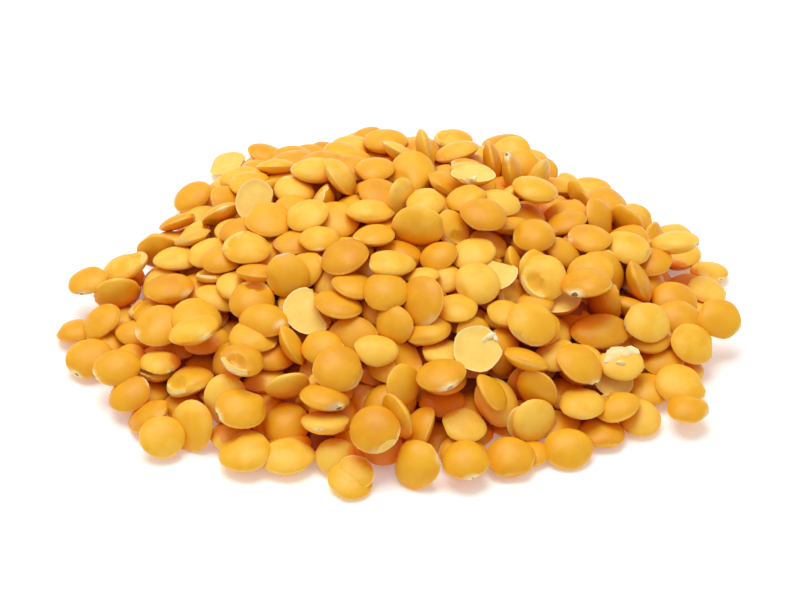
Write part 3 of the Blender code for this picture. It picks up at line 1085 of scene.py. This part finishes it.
def both(tree, operation, first, second):
    """A sum or product of two values, the second of which may be a number."""
    node = tree.nodes.new("ShaderNodeMath")
    node.operation = operation
    tree.links.new(first, node.inputs[0])
    if isinstance(second, float):
        node.inputs[1].default_value = second
    else:
        tree.links.new(second, node.inputs[1])
    return node.outputs["Value"]


def product(tree, value, *others):
    for other in others:
        value = both(tree, "MULTIPLY", value, other)
    return value


def blend(tree, share, first, second):
    """Mixes a fixed colour, by a share, into one that comes from a node."""
    node = tree.nodes.new("ShaderNodeMix")
    node.data_type = "RGBA"
    factor, under, over = (
        next(socket for socket in node.inputs if socket.name == name and socket.enabled)
        for name in ("Factor", "A", "B")
    )
    tree.links.new(share, factor)
    tree.links.new(first, under)
    over.default_value = (*second, 1.0)
    return next(socket for socket in node.outputs if socket.enabled)


def ramp(tree, value, stops):
    """A colour ramp with the given places and colours."""
    node = tree.nodes.new("ShaderNodeValToRGB")
    while len(node.color_ramp.elements) < len(stops):
        node.color_ramp.elements.new(0.5)
    for element, (place, colour) in zip(node.color_ramp.elements, stops):
        element.position = place
        element.color = (*colour, 1.0)
    tree.links.new(value, node.inputs["Fac"])
    return node.outputs["Color"]


def bumpy(tree, shader, relief, strength, distance):
    """Gives a finish a fine bump."""
    bump = tree.nodes.new("ShaderNodeBump")
    bump.inputs["Strength"].default_value = strength
    bump.inputs["Distance"].default_value = distance
    tree.links.new(relief, bump.inputs["Height"])
    tree.links.new(bump.outputs["Normal"], shader.inputs["Normal"])


print("nodes for lentils work in metres")

# %% Colours of the skin
# red of the painted shade, towards which skins deep in the heap and where lentils meet are blended
PAINTED_SHADE_RED = (0.93, 0.215, 0.003)
DEEP_ORANGE = (0.77, 0.315, 0.006)
GOLD = (0.83, 0.38, 0.010)
YELLOW = (0.89, 0.455, 0.020)
PALE = (0.95, 0.56, 0.068)
PALE_RIM = (0.95, 0.60, 0.12)
WHITISH = (0.96, 0.82, 0.45)
GREY_DOT = (0.13, 0.08, 0.04)
HUSK = (0.55, 0.33, 0.20)
TONE_STOPS = ((0.14, DEEP_ORANGE), (0.38, GOLD), (0.72, YELLOW), (0.97, PALE))
SKIN_SOCKETS = {
    "Specular IOR Level": 0.32,
    "Subsurface Weight": 0.15,
    "Subsurface Radius": (1.0, 0.5, 0.2),
    "Subsurface Scale": 0.35 * MM,
}

tree, shader = start_nodes(skin, SKIN_SOCKETS)
tone_clouds = clouds(tree, scale=420.0, detail=3.0, least=-0.14, most=0.14)
colour = ramp(tree, both(tree, "ADD", stored(tree, "tone"), tone_clouds), TONE_STOPS)
print("the skin runs from deep orange to pale yellow")

# %% The paler rim
PALE_FROM = 0.95


def of_place(tree, operation, other):
    """A vector operation on a corner's place on its own lentil."""
    node = tree.nodes.new("ShaderNodeVectorMath")
    node.operation = operation
    tree.links.new(stored(tree, "place", "Vector"), node.inputs[0])
    node.inputs[1].default_value = other
    return node


def from_axis(tree):
    """Distance from the lentil's axis, 1 at its rim."""
    length = tree.nodes.new("ShaderNodeVectorMath")
    length.operation = "LENGTH"
    flattened = of_place(tree, "MULTIPLY", (1.0, 1.0, 0.0))
    tree.links.new(flattened.outputs["Vector"], length.inputs[0])
    return length.outputs["Value"]


radius = from_axis(tree)
wear = noise(tree, scale=500.0, detail=3.0)
worn = remap(tree, wear, low=0.4, high=0.62, to_low=0.3, to_high=0.7)
rim = remap(tree, radius, PALE_FROM, high=0.99)
colour = blend(tree, product(tree, rim, worn), colour, PALE_RIM)
print("the rim pales from", PALE_FROM, "of the radius outwards")

# %% The whitish patch, the grey dot and the husk
# colour, distances from the tip over which it comes in, marks that bring it, and how much of it
ROOT_MARKS = (
    (WHITISH, (0.62, 0.1), (0.42, 0.8), 0.9),
    (HUSK, (0.7, 0.4), (0.86, 0.9), 0.55),
    (GREY_DOT, (0.17, 0.1), (0.74, 0.78), 0.9),
)
ROOT_TIP = (1.0, 0.1, 0.0)

mark = stored(tree, "mark")
from_tip = of_place(tree, "DISTANCE", ROOT_TIP).outputs["Value"]
smaller = remap(tree, stored(tree, "tone"), *USUAL_TONES, to_low=0.95, to_high=1.8)
waver = clouds(tree, scale=1100.0, detail=4.0, least=-0.08, most=0.08)
ragged = both(tree, "ADD", product(tree, from_tip, smaller), waver)
flecks = remap(tree, noise(tree, scale=650.0, detail=4.0), low=0.46, high=0.58)
for over, fades, marks, most in ROOT_MARKS:
    share = product(tree, remap(tree, ragged, *fades), remap(tree, mark, *marks, to_high=most))
    if over is HUSK:
        share = product(tree, share, flecks)
    colour = blend(tree, share, colour, over)

film = remap(tree, noise(tree, scale=420.0, detail=5.0, roughness=0.6), low=0.5, high=0.62)
near_rim = remap(tree, radius, low=0.6, high=0.95)
filmed = remap(tree, mark, low=0.16, high=0.1, to_high=0.4)
colour = blend(tree, product(tree, film, near_rim, filmed), colour, HUSK)
print("each skin is marked in", len(ROOT_MARKS) + 1, "ways")

# %% [markdown]
# Light that reaches the skins deep in the heap, or where two of them meet, has been passed on by
# other skins, each of which took out more of its green and blue. A renderer follows only a few such
# steps, so the rest is put into the colour as painted shade: the deeper and the more crowded, the
# redder it gets.

# %% Painted shade deep in the heap and between lentils
CROWD_WEIGHT = 0.35
MOST_STAINED = 0.75

# painted shade: the deeper and the more crowded a corner, the more it is blended to red
crowded = product(tree, stored(tree, "crowd"), CROWD_WEIGHT)
closed_in = both(tree, "ADD", crowded, stored(tree, "depth"))
painted_shade_share = remap(tree, closed_in, low=0.05, high=0.9, to_high=MOST_STAINED)
tree.links.new(blend(tree, painted_shade_share, colour, PAINTED_SHADE_RED), shader.inputs["Base Color"])
print("the deepest skins are stained by", MOST_STAINED)

# %% Gloss and grain of the skin
rough = clouds(tree, scale=700.0, detail=3.0, least=0.34, most=0.48)
tree.links.new(rough, shader.inputs["Roughness"])
grain = noise(tree, scale=1500.0, detail=4.0, roughness=0.6)
bumpy(tree, shader, grain, strength=0.25, distance=0.06 * MM)
print("the skin has", len(tree.nodes), "nodes")

# %% [markdown]
# ## The inside and the crumbs
#
# Where a lentil is split or chipped its inside shows: creamy yellow and floury, with no gloss. The
# crumbs are nearly white and chalky.

# %% Inside and crumbs
INSIDE_PALE = (0.95, 0.65, 0.16)
INSIDE_DEEP = (0.93, 0.58, 0.11)
CHALK = (0.96, 0.87, 0.60)
CHALK_WARM = (0.94, 0.70, 0.28)


def floury(material, stops, roughness):
    """A dry, floury finish whose colour clouds between the given colours."""
    tree, shader = start_nodes(material, {"Roughness": roughness, "Specular IOR Level": 0.3})
    clouded = ramp(tree, noise(tree, scale=600.0, detail=5.0, roughness=0.6), stops)
    edge = remap(tree, from_axis(tree), low=0.9, high=0.99, to_high=0.35)
    tree.links.new(blend(tree, edge, clouded, CHALK), shader.inputs["Base Color"])
    flour = noise(tree, scale=2200.0, detail=5.0, roughness=0.65)
    bumpy(tree, shader, flour, strength=0.5, distance=0.08 * MM)
    print(material.name, "has", len(tree.nodes), "nodes")


floury(inside, stops=((0.35, INSIDE_DEEP), (0.65, INSIDE_PALE)), roughness=0.62)
floury(crumb, stops=((0.4, CHALK_WARM), (0.66, CHALK)), roughness=0.8)

# %% [markdown]
# The core is painted a dark orange brown as shade, clouded like the skins that stain the light down
# there.

# %% The core's painted shade
SHADE_DARK = (0.38, 0.055, 0.003)
SHADE_WARM = (0.54, 0.12, 0.007)
SHADE_STOPS = ((0.35, SHADE_DARK), (0.65, SHADE_WARM))

# painted shade: a dark orange brown for the shaded inside of the heap
core_shade_finish = bpy.data.materials.new("painted_core_shade")
tree, shader = start_nodes(core_shade_finish, {"Roughness": 0.8})
where = tree.nodes.new("ShaderNodeTexCoord").outputs["Object"]
clouded = noise(tree, scale=400.0, detail=4.0, where=where)
tree.links.new(ramp(tree, clouded, SHADE_STOPS), shader.inputs["Base Color"])
core.data.materials.append(core_shade_finish)
print("the core has", len(tree.nodes), "nodes")

# %% [markdown]
# ## The table, the light and the camera
#
# The heap lies on a plain white surface. The light is that of a bright studio: a white sky that
# leaves hardly a shadow, and one large soft lamp from behind on the left, which models the faces.

# %% The surface
TABLE_SIZE = 3.0
TABLE_SOCKETS = {
    "Base Color": (0.98, 0.98, 0.98, 1.0),
    "Roughness": 0.7,
    "Emission Strength": 0.18,
}

select_only()
bpy.ops.mesh.primitive_plane_add(size=TABLE_SIZE)
table = bpy.context.object
table.name = "table_top"
white = bpy.data.materials.new("white_surface")
start_nodes(white, TABLE_SOCKETS)
table.data.materials.append(white)
print("the surface is", TABLE_SIZE, "m across")

# %% The light
SKY_STRENGTH = 0.58
LAMP_POWER = 1.55
LAMP_SIZE = 0.36
LAMP_PLACE = Vector((-0.06, 0.09, 0.44))

world = bpy.data.worlds.new("white_sky")
world.use_nodes = True
sky = world.node_tree.nodes["Background"]
sky.inputs["Color"].default_value = (1.0, 1.0, 1.0, 1.0)
sky.inputs["Strength"].default_value = SKY_STRENGTH
bpy.context.scene.world = world
bpy.ops.object.light_add(type="AREA", location=LAMP_PLACE)
lamp = bpy.context.object
lamp.name = "soft_lamp"
lamp.data.energy = LAMP_POWER
lamp.data.size = LAMP_SIZE
lamp.rotation_euler = (-LAMP_PLACE).to_track_quat("-Z", "Y").to_euler()
bpy.context.scene.view_settings.view_transform = "Standard"
print("the lamp is", round(LAMP_PLACE.length / MM), "mm away")

# %% The camera
VIEW_ELEVATION = math.radians(37)
VIEW_DISTANCE = 380 * MM
VIEW_FORWARD = 1.7 * MM
VIEW_LEFT = 0.4 * MM
SENSOR_WIDTH_MM = 36.0
IMAGE_WIDTH = 800
PIXELS_PER_MM = 8.7
NEAREST_SEEN = 10 * MM

bpy.ops.object.camera_add(
    location=(
        -middle[0] - VIEW_LEFT,
        VIEW_FORWARD - middle[1] - math.cos(VIEW_ELEVATION) * VIEW_DISTANCE,
        math.sin(VIEW_ELEVATION) * VIEW_DISTANCE,
    ),
    rotation=(math.pi / 2 - VIEW_ELEVATION, 0.0, 0.0),
)
camera = bpy.context.object
camera.data.lens = SENSOR_WIDTH_MM * PIXELS_PER_MM * VIEW_DISTANCE / MM / IMAGE_WIDTH
camera.data.clip_start = NEAREST_SEEN
bpy.context.scene.camera = camera
print("the lens is", round(camera.data.lens), "mm")

# %% [markdown]
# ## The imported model
#
# There the heap is one rigid solid. So every piece rides on its body and stands for that solid.

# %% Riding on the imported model
for piece in pieces:
    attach(piece, "root")
    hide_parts(HEAP_NODE)
